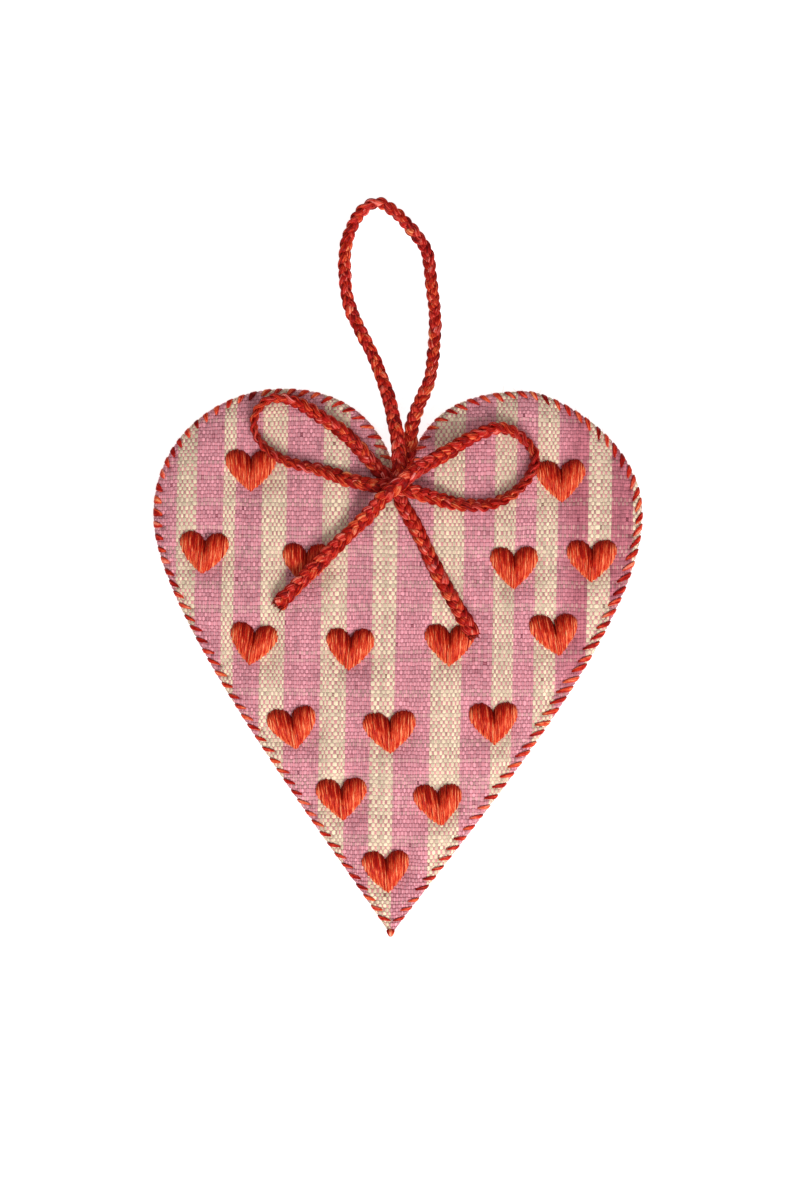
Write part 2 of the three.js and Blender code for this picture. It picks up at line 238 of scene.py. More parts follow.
def makeClothLook():
    v = clothLook
    seed = v["seeds"]
    look = Look("striped raffia cloth", v["roughness"])
    across, up = look.flat("cloth")
    x = (across - 0.5) * v["span"]
    y = (up - 0.5) * v["span"]
    drift, ripple, sway, shiver = (look.noise(n, x * a, y * b) - 0.5 for n, a, b in v["wander"].values())
    leaning = x - y * v["slant"] + sway * v["sway"]
    columnSpread = look.noise(1, leaning * v["columnChange"], seed["column"]) - 0.5
    rowSpread = look.noise(1, seed["row"], y * v["rowChange"] + drift) - 0.5

    # The slow change of the warp's spacing, at a place across the cloth
    def broadAt(place):
        return (look.noise(0, place * v["broadChange"], seed["broad"]) - 0.5) * v["broadSpread"]

    column = leaning + broadAt(leaning) + columnSpread * v["columnSpread"] + shiver * v["shiver"]
    column = column / v["warpPitch"]
    row = y + drift * v["drift"] + ripple * v["ripple"] + rowSpread * v["rowSpread"]
    row = row / v["weftPitch"]
    columnNumber = look.math("FLOOR", column)
    rowNumber = look.math("FLOOR", row)
    fx = column - columnNumber - 0.5
    fy = row - rowNumber - 0.5
    parity = look.math("FRACT", (columnNumber + rowNumber) * 0.5) * 4 - 1  # 1 where the warp is on top
    # The stripes are a matter of which warp threads are cream
    nearMiddle = leaning - fx * v["warpPitch"]
    columnMiddle = ((columnNumber + 0.5) * v["warpPitch"] - broadAt(nearMiddle)) / v["span"] + 0.5
    stops = [(0, (0, 0, 0))]
    for i, edge in enumerate(v["stripeEdges"]):
        stops.append((edge / v["span"] + 0.5, (1, 1, 1) if i % 2 == 0 else (0, 0, 0)))
    settings = {"stops": stops, "interpolation": "CONSTANT"}
    stripe = look.node("ShaderNodeValToRGB", settings, {0: columnMiddle})

    # Heights of the two threads, and which of them is on top
    def swell(way, size, most):
        return parity * look.math("MINIMUM", size * look.math("COSINE", way * math.pi), most)

    def arch(away, height, span):
        return height * look.math("COSINE", away * (math.pi / span))

    fromWarp = look.math("ABSOLUTE", fx)
    rise = swell(fy, *v["rise"])
    sink = swell(fx, *v["sink"])
    warpOwn = rise + arch(fromWarp, *v["warpArch"])
    warpBeside = arch(1 - fromWarp, *v["warpArch"]) - rise
    warpHeight = look.math("MAXIMUM", warpOwn, warpBeside)
    weftHeight = arch(fy, *v["weftArch"]) - sink
    top = look.math("MAXIMUM", warpHeight, weftHeight)
    lead = warpHeight - weftHeight + stripe * (2 * v["weftLead"]) - v["weftLead"]
    warpOver = look.soft(lead, *v["overTop"])

    warpChance = look.chance(columnNumber, seed["warp"])
    weftChance = look.chance(rowNumber, seed["weft"])
    warpStreak, weftStreak = (look.noise(n, x * a, y * b) for n, a, b in v["streaks"].values())
    streak = warpStreak * warpOver + weftStreak * (1 - warpOver)
    pinkWarp = look.blend(look.soft(leaning, *v["deepFrom"]), v["pinkWarp"], v["deepPinkWarp"])
    warpColour = look.blend(stripe, pinkWarp, v["creamWarp"])
    weftCream = look.math("LESS_THAN", weftChance, v["creamWeftShare"])
    weftColour = look.blend(weftCream, v["pinkWeft"], v["creamWeft"])
    weftColour = look.blend(look.math("MULTIPLY", stripe, v["weftPaling"]), weftColour, v["creamWeft"])
    weftColour = look.blend(v["weftBlush"] - v["weftBlush"] * stripe, weftColour, pinkWarp)
    threads = look.blend(warpOver, weftColour, warpColour)
    # Painted shade: the threads are mixed towards olive under cream warp and towards wine elsewhere. The
    # lower the threads lie the stronger it is, and it is stronger again at the rare gaps, in the pink
    # stripes and near the heart's tip
    shade = look.blend(look.math("MULTIPLY", stripe, warpOver), v["wine"], v["olive"])
    cell = look.chance(columnNumber + rowNumber * 113, seed["cell"])
    gapChance = look.chance(columnNumber * 57 + rowNumber, seed["gap"])
    gap = look.math("GREATER_THAN", gapChance, v["gapAbove"])
    nearTip = look.soft(0 - y, *v["tipFrom"])
    shown = top - v["gapDepth"] * gap - v["tipDepth"] * nearTip + v["pinkDepth"] * stripe - v["pinkDepth"]
    depth = look.soft(shown, *v["depth"])
    threadsWithPaintedShade = look.blend(1 - depth, threads, shade)
    patch = look.noise(2, x * v["patchChange"], y * v["patchChange"])
    part = v["tone"]
    # The warp term is painted light on the raised warp floats and painted shade on the lower weft
    tone = (
        part["base"]
        - part["stripe"] * stripe
        + part["thread"] * warpChance * warpOver
        + part["thread"] * weftChance * (1 - warpOver)
        + part["warp"] * warpOver
        + part["streak"] * streak
        + part["patch"] * (patch - 0.5)
        + (part["cell"] - part["stripeCell"] * stripe) * (cell - 0.5)
    )
    grey = look.node("ShaderNodeCombineColor", {}, {0: tone, 1: tone, 2: tone})
    look.feed("Base Color", look.blend(1.0, threadsWithPaintedShade, grey, "MULTIPLY"))
    rough = v["roughness"] - v["polish"] * depth + v["roughStreak"] * (warpStreak - 0.5)
    look.feed("Roughness", rough)
    relief = top + streak * v["fibreHeight"] + v["patchHeight"] * patch
    look.feed("Normal", look.bump(relief, v["threadHeight"]))
    look.fix("Specular IOR Level", v["specular"])
    return look.material


# Dyed raffia: streaks run along the strand, whose length and girth are in its UV map. One unit is
# strandSpan along; around, each strand has a unit of its own. A grain is a noise: its detail, how
# fast it changes along and around, and how far strands differ in it.
raffiaLook = {
    "strandSpan": 0.01,
    "grains": {"fine": (4, 2.2, 1, 9), "broad": (2, 0.9, 0.22, 5), "fleck": (1, 9, 0.8, 3)},
    "shares": {"fine": 0.52, "broad": 0.34, "fleck": 0.16},
    # The ramp runs from dark to light red. Its lightest stops make the lightest streaks partly painted
    # highlights; the rest is the raffia's own tone, which differs at random
    "stops": [
        (0.00, (0.13, 0.001, 0.0005)),
        (0.26, (0.31, 0.004, 0.0015)),
        (0.50, (0.52, 0.013, 0.004)),
        (0.78, (0.75, 0.098, 0.030)),
        (1.00, (0.92, 0.340, 0.150)),
    ],
    "crimson": colour(0.92, 0.66, 2.3),
    "crimsonFrom": (0.40, 0.60),
    "roughSpread": 0.22,
    "specular": 0.10,
}
# The tone falls along a strand from its start at the rate given per kind. On the satin hearts this gives
# painted light at each thread's lower end and painted shade towards its top
raffiaKinds = {
    "plaited red raffia": {
        "around": 24, "roughness": 0.46, "bump": 0.00050, "apart": 0.12, "span": (0.36, 0.70),
        "lift": -0.02, "paintedShadeAlong": 0.0, "crimsonShare": 0.55,
    },
    "satin stitch raffia": {
        "around": 5, "roughness": 0.45, "bump": 0.00016, "apart": 0.10, "span": (0.31, 0.72),
        "lift": 0.085, "paintedShadeAlong": 0.075, "crimsonShare": 0.0,
    },
    "edge thread raffia": {
        "around": 9, "roughness": 0.48, "bump": 0.00022, "apart": 0.12, "span": (0.32, 0.72),
        "lift": 0.02, "paintedShadeAlong": 0.0, "crimsonShare": 0.3,
    },
}


def makeRaffiaLook(name):
    v = {**raffiaLook, **raffiaKinds[name]}
    share = v["shares"]
    look = Look(name, v["roughness"])
    along, girth = look.flat("strand")
    own = look.chance(look.math("FLOOR", girth), 5.3)
    fine, broad, fleck = (
        look.noise(detail, along * lengthwise, girth * v["around"] * crosswise, own * apart)
        for detail, lengthwise, crosswise, apart in v["grains"].values()
    )
    tone = share["fine"] * fine + share["broad"] * broad + share["fleck"] * fleck
    # The last term darkens the tone along the strand from its start: painted light at a satin thread's
    # lower end, painted shade towards its top
    tone = tone + v["apart"] * (own - 0.5) + v["lift"] - v["paintedShadeAlong"] * along
    ramp = look.node("ShaderNodeValToRGB", {"stops": v["stops"]}, {0: look.soft(tone, *v["span"])})
    crimson = look.blend(1.0, ramp, v["crimson"], "MULTIPLY")
    cool = look.soft(look.noise(1, along * 0.5, own * 7), *v["crimsonFrom"])
    look.feed("Base Color", look.blend(cool * v["crimsonShare"], ramp, crimson))
    look.feed("Roughness", v["roughness"] + v["roughSpread"] * (broad - 0.5))
    look.feed("Normal", look.bump(fine + 0.5 * fleck, v["bump"]))
    look.fix("Specular IOR Level", v["specular"])
    return look.material


clothMaterial = makeClothLook()
plaitMaterial, satinMaterial, edgeMaterial = map(makeRaffiaLook, raffiaKinds)
print("materials made")

# Lines and the sections swept along them

upward = np.array([0, 0, 1.0])


def unit(vectors):
    return vectors / np.linalg.norm(vectors, axis=-1, keepdims=True)


# How far along a line each of its points is
def walk(line):
    return np.concatenate([[0], np.cumsum(np.linalg.norm(np.diff(line, axis=0), axis=1))])


def turnsAround(sides):
    return np.linspace(0, 2 * math.pi, sides, endpoint=False)


# Both coordinates of a section of unit size: a circle at a power of 1, and more of a box below it
def boxed(around, power):
    return [np.sign(part) * np.abs(part) ** power for part in (np.cos(around), np.sin(around))]


# Shapes made of swept strands are gathered here and built as one mesh each
class Pile:
    def __init__(self):
        self.points = []
        self.faces = []
        self.places = []
        self.count = 0

    # A closed tube: centres, the two unit directions of its section, and its section at each centre
    def tube(self, centres, sideways, outwards, section, number):
        rings, sides = section.shape[:2]
        points = (
            centres[:, None]
            + sideways[:, None] * section[..., 0, None]
            + outwards[:, None] * section[..., 1, None]
        )
        along = walk(centres) / raffiaLook["strandSpan"]
        index = np.arange(rings * sides).reshape(rings, sides) + self.count
        for i in range(rings - 1):
            for k in range(sides):
                n = (k + 1) % sides
                self.faces.append((index[i, k], index[i, n], index[i + 1, n], index[i + 1, k]))
                low, high = number + k / sides * 0.98, number + (k + 1) / sides * 0.98
                self.places += [(along[i], low), (along[i], high)]
                self.places += [(along[i + 1], high), (along[i + 1], low)]
        for ring, spot in ((index[0][::-1], along[0]), (index[-1], along[-1])):
            self.faces.append(tuple(ring))
            self.places += [(spot, number + 0.5)] * sides
        self.points.append(points.reshape(-1, 3))
        self.count += rings * sides

    def build(self, name, material):
        mesh = bpy.data.meshes.new(name)
        mesh.from_pydata(np.vstack(self.points).tolist(), [], [tuple(map(int, f)) for f in self.faces])
        layer = mesh.uv_layers.new(name="strand")
        layer.data.foreach_set("uv", np.array(self.places, dtype=np.float32).ravel())
        mesh.materials.append(material)
        mesh.shade_smooth()
        piece = bpy.data.objects.new(name, mesh)
        bpy.context.collection.objects.link(piece)
        return piece


# What is p at the start and q at the end, at t between them
def mix(p, q, start, end, t):
    return (end - t) / (end - start) * p + (t - start) / (end - start) * q


# A smooth line through points, evenly spaced: a centripetal Catmull-Rom curve
def smoothLine(points, spacing, stepsBetween=40):
    points = np.array(points, dtype=float)
    ends = [2 * points[0] - points[1]], [2 * points[-1] - points[-2]]
    points = np.vstack([ends[0], points, ends[1]])
    dense = []
    for a, b, c, d in zip(points, points[1:], points[2:], points[3:]):
        gaps = [np.linalg.norm(q - p) ** 0.5 for p, q in ((a, b), (b, c), (c, d))]
        ta, tb, tc, td = np.cumsum([0, *gaps])
        t = np.linspace(tb, tc, stepsBetween, endpoint=False)[:, None]
        ab, bc, cd = mix(a, b, ta, tb, t), mix(b, c, tb, tc, t), mix(c, d, tc, td, t)
        dense.append(mix(mix(ab, bc, ta, tc, t), mix(bc, cd, tb, td, t), tb, tc, t))
    dense = np.vstack([*dense, points[-2:-1]])
    along = walk(dense)
    count = max(2, round(along[-1] / spacing))
    even = np.linspace(0, along[-1], count + 1)
    return np.stack([np.interp(even, along, dense[:, k]) for k in range(3)], axis=1), even


# Plaited cords: their routes, and how the plait is turned about its route at each point, 0 when its
# broad side is up and 90 when it stands on edge

loopRoute = {
    "points": [
        (0.0005, 0.0756, 0.0162), (0.0003, 0.0834, 0.0160), (-0.0003, 0.0925, 0.0140),
        (-0.0018, 0.0990, 0.0119), (-0.0049, 0.1113, 0.0078), (-0.0094, 0.1236, 0.0047),
        (-0.0155, 0.1359, 0.0029), (-0.0205, 0.1482, 0.0029), (-0.0219, 0.1585, 0.0029),
        (-0.0209, 0.1728, 0.0029), (-0.0160, 0.1840, 0.0029), (-0.0090, 0.1886, 0.0029),
        (-0.0020, 0.1854, 0.0029), (0.0062, 0.1769, 0.0029), (0.0117, 0.1687, 0.0029),
        (0.0137, 0.1564, 0.0029), (0.0152, 0.1400, 0.0029), (0.0147, 0.1277, 0.0036),
        (0.0127, 0.1154, 0.0060), (0.0086, 0.1052, 0.0084), (0.0056, 0.0965, 0.0101),
        (0.0046, 0.0875, 0.0112), (0.0030, 0.0792, 0.0113),
    ],
    "turns": [0, 0, 0, 5, 8, 10, 12, 14, 16, 25, 50, 60, 45, 25, 16, 14, 12, 10, 8, 5, 0, 0, 0],
    "girths": [1, 1, 1, 0.96, 0.93, 0.86, 0.88, 0.90, *[0.88] * 10, 0.90, 0.94, 1, 1, 1],
    "width": 0.0062,
    "endFlare": 0,
    "seed": 41,
}
bowRoute = {
    "points": [
        (-0.0488, 0.0236, 0.0114), (-0.0435, 0.0288, 0.0122), (-0.0350, 0.0374, 0.0138),
        (-0.0250, 0.0475, 0.0129), (-0.0131, 0.0588, 0.0152), (-0.0053, 0.0674, 0.0204),
        (-0.0005, 0.0714, 0.0213), (0.0039, 0.0752, 0.0212), (0.0094, 0.0792, 0.0196),
        (0.0190, 0.0848, 0.0154), (0.0323, 0.0926, 0.0119), (0.0420, 0.0956, 0.0112),
        (0.0508, 0.0914, 0.0112), (0.0560, 0.0834, 0.0112), (0.0534, 0.0754, 0.0113),
        (0.0465, 0.0684, 0.0114), (0.0377, 0.0644, 0.0116), (0.0260, 0.0642, 0.0122),
        (0.0140, 0.0670, 0.0142), (0.0051, 0.0697, 0.0160), (-0.0010, 0.0714, 0.0163),
        (-0.0078, 0.0716, 0.0156), (-0.0190, 0.0739, 0.0124), (-0.0320, 0.0784, 0.0114),
        (-0.0443, 0.0814, 0.0119), (-0.0520, 0.0856, 0.0126), (-0.0580, 0.0926, 0.0116),
        (-0.0584, 0.1010, 0.0108), (-0.0524, 0.1073, 0.0106), (-0.0430, 0.1066, 0.0108),
        (-0.0320, 0.1002, 0.0112), (-0.0205, 0.0920, 0.0114), (-0.0120, 0.0828, 0.0115),
        (-0.0065, 0.0766, 0.0115), (-0.0008, 0.0712, 0.0115), (0.0016, 0.0648, 0.0115),
        (0.0094, 0.0506, 0.0116), (0.0165, 0.0355, 0.0120), (0.0240, 0.0226, 0.0136),
        (0.0306, 0.0110, 0.0138),
    ],
    "turns": [
        0, 0, 0, 0, 0, 0, 0, 0, 5, 25, 55, 70, 80, 80, 80, 70, 60, 45, 20, 0,
        0, 0, 30, 55, 65, 70, 75, 75, 70, 60, 40, 20, 10, 0, 0, 0, 0, 0, 0, 0,
    ],
    "girths": [*[1] * 24, 0.90, 0.84, 0.74, 0.72, 0.80, 0.90, *[1] * 10],
    "width": 0.0064,
    "endFlare": 0.10,
    "seed": 17,
}
plait = {
    "period": 0.0124,  # a strand's way from one side to the other and back
    "strandWidth": 0.0039,
    "strandThick": 0.0017,
    "weaveHeight": 0.0011,
    "boxy": 0.68,
    "straighter": 0.04,
    "sides": 22,
    "step": 0.00055,
    "endReach": 0.004,
    "ridges": (6, 9),
    "ridgeDepth": 0.06,
    "squash": 0.12,
    # Slow changes: how much, over what length, and what is added to the route's seed
    "changes": {
        "pace": (0.25, 0.037, 0), "swing": (0.08, 0.03, 5), "size": (0.14, 0.023, 11),
        "ridges": (1.5, 0.04, 31),
    },
}


# A slow random wave of unit size along a line, always the same for one seed
def wave(even, length, seed):
    rng = np.random.default_rng(seed)
    total = np.zeros_like(even)
    for k in range(3):
        total += np.sin(even / length * (1.7**k) * 2 * math.pi + rng.uniform(0, 7)) / 1.5**k
    return total / 2


def makePlait(route):
    v = plait
    centres, even = smoothLine(route["points"], v["step"])
    reach = walk(np.array(route["points"]))
    turn = np.radians(np.interp(even / even[-1], reach / reach[-1], route["turns"]))
    girth = np.interp(even / even[-1], reach / reach[-1], route["girths"])
    ahead = unit(np.gradient(centres, axis=0))
    level = unit(np.cross(upward, ahead))
    upright = np.cross(ahead, level)
    cos, sin = np.cos(turn)[:, None], np.sin(turn)[:, None]
    broad = level * cos + upright * sin
    normal = np.cross(ahead, broad)

    def change(what, strand=0):
        amount, length, added = v["changes"][what]
        return amount * wave(even, length, route["seed"] + added + strand)

    pile = Pile()
    around = turnsAround(v["sides"])
    roundX, roundY = boxed(around, v["boxy"])
    swing = (route["width"] - v["strandWidth"]) / 2
    pace = even / v["period"] * 2 * math.pi + change("pace")
    for strand in range(3):
        phase = pace + strand * 2 * math.pi / 3
        size = 1 + change("size", strand)
        across = (np.sin(phase) + v["straighter"] * np.sin(3 * phase)) / (1 - v["straighter"])
        line = (
            centres
            + broad * (across * girth * swing * (1 + change("swing")))[:, None]
            - normal * (np.sin(2 * phase) * girth * v["weaveHeight"])[:, None]
        )
        forward = unit(np.gradient(line, axis=0))
        outwards = unit(normal - forward * np.sum(normal * forward, axis=1, keepdims=True))
        sideways = np.cross(outwards, forward)
        twist = change("ridges", strand)[:, None]
        groove = 1 + v["ridgeDepth"] * np.sin(v["ridges"][0] * around + twist)
        groove = groove + 0.5 * v["ridgeDepth"] * np.sin(v["ridges"][1] * around + 2 * twist)
        squash = 1 - v["squash"] * np.abs(np.cos(phase))[:, None]
        section = np.stack(
            [
                roundX * groove * size[:, None] * v["strandWidth"] / 2 * squash,
                roundY * groove * size[:, None] * v["strandThick"] / 2,
            ],
            axis=-1,
        )
        toEnd = np.clip(np.minimum(even, even[-1] - even) / v["endReach"], 0, 1)
        taper = 1 + (1 - toEnd) ** 2 * route["endFlare"]
        pile.tube(line, sideways, outwards, section * (taper * girth)[:, None, None], strand)
    return pile, centres, even[-1]


# The cut ends of the bow's tails: short fibres that stick out of the plait
tailEnds = {
    "fibres": 70,
    "length": (0.0006, 0.0022),
    "thick": 0.00020,
    "spread": 0.40,
    "lift": 0.2,
    "halfWidth": 0.0026,
    "halfHeight": 0.0012,
    "bend": 0.3,
    "droop": 0.2,
    "rootDepth": 0.4,  # in lengths of the fibre
    "seed": 77,
}


def addTailFibres(pile, centres):
    v = tailEnds
    wide, high = v["halfWidth"], v["halfHeight"]
    rng = np.random.default_rng(v["seed"])
    for end, inner in ((centres[0], centres[6]), (centres[-1], centres[-7])):
        outward = unit(end - inner)
        level = unit(np.cross(upward, outward))
        for _ in range(v["fibres"]):
            aim = outward + level * rng.normal(0, v["spread"]) + upward * rng.normal(0, v["lift"])
            root = end + level * rng.uniform(-wide, wide) + upward * rng.uniform(-high, high)
            length = rng.uniform(*v["length"])
            bend = np.array([*rng.normal(0, v["bend"], 2), -v["droop"]])
            t = np.linspace(-v["rootDepth"], 1, 7)[:, None]
            line = root + unit(aim) * length * t + bend * length * t * np.abs(t) * 0.5
            addFibre(pile, line, v["thick"], rng.uniform(3, 60))


# A thin thread that tapers to its end
def addFibre(pile, line, thick, number):
    ahead = unit(np.gradient(line, axis=0))
    sideways = unit(np.cross(ahead, [0.03, 0.02, 1.0]))
    outwards = np.cross(ahead, sideways)
    around = turnsAround(5)
    narrow = np.linspace(1, 0.45, len(line))[:, None] * thick
    section = np.stack([np.cos(around) * narrow, np.sin(around) * narrow * 0.6], axis=-1)
    pile.tube(line, sideways, outwards, section, math.floor(number))


def makeCords():
    pile, path, length = makePlait(loopRoute)
    loop = pile.build("hangingLoop", plaitMaterial)
    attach(loop, "root")
    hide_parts("hanging_loop")
    pile, path, length = makePlait(bowRoute)
    bow = pile.build("bowPlait", plaitMaterial)
    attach(bow, "root")
    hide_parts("bow")
    pile = Pile()
    addTailFibres(pile, path)
    fibres = pile.build("bowTailFibres", plaitMaterial)
    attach(fibres, "root")


makeCords()
print("loop and bow plaited")

# The heart's outline, its edge stitches and the height of its two faces

heartShape = {
    "tip": (-0.003, -0.1125),
    "notch": (0, 0.074),
    "middle": (0, 0.02),
    "left": {
        "tipHandle": (-0.031, 0.047),
        "side": (-0.1005, 0.060),
        "sideHandles": (0.040, 0.033),
        "top": (-0.047, 0.112),
        "topHandles": (0.026, 0.024),
        "notchHandle": (-0.006, 0.026),
    },
    "right": {
        "tipHandle": (0.037, 0.049),
        "side": (0.1005, 0.060),
        "sideHandles": (0.045, 0.033),
        "top": (0.053, 0.111),
        "topHandles": (0.009, 0.042),
        "notchHandle": (0.009, 0.015),
    },
}
edgeStitch = {
    "count": 65,
    "first": 0.0054,
    "last": 0.0070,
    "pastLast": 0.7,  # where the last stitch comes out behind, in shares of its lean
    "thick": 0.0007,
    "boxy": 0.55,
    "sides": 14,
    "step": 0.00042,
    "lowest": 0.00045,
}
# How far each stitch leans, goes in and is wide, in millimetres, by share of the way up its side
stitchShapes = {
    "right": {
        "lean": [(0, 3.2), (0.1, 3.2), (0.2, 3.8), (0.35, 4.5), (0.45, 4.6), (0.52, 4.2), (0.60, 4.2),
                 (0.66, 3.8), (0.75, 3.4), (0.85, 2.9), (1, 3.0)],
        "depth": [(0, 3.0), (0.1, 3.2), (0.2, 3.7), (0.35, 4.2), (0.45, 4.2), (0.52, 3.8), (0.58, 2.9),
                  (0.62, 3.4), (0.75, 2.9), (0.85, 3.3), (1, 3.8)],
        "wide": [(0, 1.6), (0.2, 1.9), (0.35, 2.2), (0.5, 2.2), (0.75, 2.2), (0.85, 2.0), (1, 1.5)],
    },
    "left": {
        "lean": [(0, 3.3), (0.45, 3.4), (0.53, 1.5), (0.59, 0.9), (0.63, 2.4), (0.70, 1.3), (0.80, 2.6),
                 (0.90, 3.0), (1, 3.0)],
        "depth": [(0, 3.1), (0.45, 3.2), (0.53, 3.0), (0.59, 3.5), (0.63, 2.4), (0.70, 3.1), (0.80, 2.6),
                  (0.90, 4.0), (1, 4.0)],
        "wide": [(0, 1.7), (0.45, 1.8), (0.53, 2.5), (0.59, 2.9), (0.66, 2.6), (0.72, 2.3), (0.80, 2.3),
                 (0.90, 1.8), (1, 1.6)],
    },
    "jitter": {"hole": 0.25, "lean": 0.16, "depth": 0.14, "wide": 0.12},
}
heartBody = {
    "edgeBottom": 0.0010,
    "edgeTop": 0.0066,
    "rimReach": 0.0024,
    "underReach": 0.0042,
    "shoulder": 0.009,
    "shoulderRise": 0.0006,
    "crown": 0.0020,
    "crownReach": (0.105, 0.135),
}


def bezier(a, b, c, d, count=400):
    t = np.linspace(0, 1, count)[:, None]
    s = 1 - t
    return s**3 * a + 3 * s * s * t * b + 3 * s * t * t * c + t**3 * d


# One side of the outline, measured along from the tip up to the notch
class Edge:
    def __init__(self, side, sign):
        half = heartShape[side]
        v = {key: np.array(value) for key, value in half.items()}
        tip, notch = np.array(heartShape["tip"]), np.array(heartShape["notch"])
        down, up = (np.array([0, value]) for value in half["sideHandles"])
        out, back = (np.array([sign * value, 0]) for value in half["topHandles"])
        self.line = np.vstack(
            [
                bezier(tip, tip + v["tipHandle"], v["side"] - down, v["side"]),
                bezier(v["side"], v["side"] + up, v["top"] + out, v["top"])[1:],
                bezier(v["top"], v["top"] - back, notch + v["notchHandle"], notch)[1:],
            ]
        )
        self.along = walk(self.line)
        self.length = self.along[-1]
        self.ahead = unit(np.gradient(self.line, self.along, axis=0))
        self.sign = sign
        count = edgeStitch["count"]
        self.pitch = (self.length - edgeStitch["first"] - edgeStitch["last"]) / (count - 1)
        rng = np.random.default_rng(40 + sign)
        jitter = stitchShapes["jitter"]
        share = np.linspace(0, 1, count)
        self.hole = edgeStitch["first"] + np.arange(count) * self.pitch
        self.hole += rng.uniform(-1, 1, count) * jitter["hole"] / 1000
        for name, knots in stitchShapes[side].items():
            size = np.interp(share, *zip(*knots)) / 1000
            setattr(self, name, size * (1 + jitter[name] * rng.uniform(-1, 1, count)))
        self.slope = self.depth / np.hypot(self.depth, self.lean)
        self.leave = np.append(self.hole[1:], self.hole[-1] + self.lean[-1] * edgeStitch["pastLast"])

    def inward(self, along):
        x, y = (np.interp(along, self.along, self.ahead[:, k]) for k in (0, 1))
        return unit(np.stack([-y, x], axis=-1) * self.sign)

    def at(self, along, inset=0.0):
        along = np.asarray(along, dtype=float)
        near = np.clip(along, 0, self.length)
        place = np.stack([np.interp(near, self.along, self.line[:, k]) for k in (0, 1)], axis=-1)
        ahead = np.stack([np.interp(near, self.along, self.ahead[:, k]) for k in (0, 1)], axis=-1)
        shift = self.inward(near) * np.asarray(inset)[..., None]
        return place + ahead * (along - near)[..., None] + shift


edges = [Edge("right", 1), Edge("left", -1)]


def smoothStep(value):
    value = np.clip(value, 0, 1)
    return value * value * (3 - 2 * value)


def crownAt(x, y):
    v = heartBody
    spanX, spanY = v["crownReach"]
    fall = (x / spanX) ** 2 + ((y - heartShape["middle"][1]) / spanY) ** 2
    return v["crown"] * np.maximum(0, 1 - fall)


# Heights of the front and back cloth at a place and its distance from the outline
def faceHeights(x, y, inset):
    v = heartBody
    crown = crownAt(x, y)
    top = v["edgeTop"] + crown
    middle = (v["edgeBottom"] + top) / 2
    curve = np.sqrt(1 - (1 - np.clip(inset / v["rimReach"], 0, 1)) ** 2)
    rise = smoothStep((inset - v["rimReach"]) / (v["shoulder"] - v["rimReach"]))
    drop = smoothStep((inset - v["underReach"]) / (v["shoulder"] - v["underReach"]))
    front = middle + (top - middle) * curve + v["shoulderRise"] * rise
    back = middle - (middle - v["edgeBottom"]) * curve - v["edgeBottom"] * drop
    return front, back


# Satin-stitched hearts: centre, turn in degrees, how far the point is to the right, and width

satin = {
    "size": (0.0200, 0.0176),
    "places": [
        (-0.0603, 0.0786, 0, 0, 1.02),
        (0.0668, 0.0742, 2, 0, 0.99),
        (-0.0796, 0.0447, -5, -0.0002, 0.99),
        (-0.0376, 0.0400, -2, 0, 0.96),
        (0.0476, 0.0386, 1, -0.0004, 0.96),
        (0.0794, 0.0414, 1, -0.0003, 1.02),
        (-0.0594, 0.0072, -8, -0.0002, 0.95),
        (-0.0196, 0.0052, -2, -0.0004, 0.97),
        (0.0211, 0.0070, 0, -0.0002, 1.00),
        (0.0637, 0.0111, 3, 0.0020, 0.98),
        (-0.0432, -0.0271, 8, 0.0003, 0.99),
        (-0.0033, -0.0288, 4, -0.0003, 1.08),
        (0.0391, -0.0252, 2, 0.0002, 0.99),
        (-0.0231, -0.0562, 3, 0.0003, 1.02),
        (0.0163, -0.0586, 2, 0.0011, 0.98),
        (-0.0050, -0.0858, 2, 0.0007, 0.95),
    ],
    "curves": [
        [(0, -0.5), (0.2, -0.34), (0.5, -0.02), (0.5, 0.2)],
        [(0.5, 0.2), (0.5, 0.40), (0.40, 0.47), (0.28, 0.47)],
        [(0.28, 0.47), (0.15, 0.47), (0.03, 0.38), (0, 0.23)],
    ],
    "threads": 50,
    "rise": 0.0034,
    "wide": 0.00072,
    "thick": 0.00058,
    "fan": (0.12, 0.30),
    "jitter": 0.006,
    "topJitter": (-0.015, 0.02),
    "footJitter": (-0.03, 0.012),
    "valley": 0.45,
    "valleyWidth": 0.07,
    "tuck": 0.0003,
    "sizes": (0.85, 1.2),
    "lifts": (0.92, 1.05),
    "steps": 18,
    "sides": 6,
}

# The padded heart: two sheets of cloth joined at the rim, held where the stitches are and swollen
# between them by a cloth simulation

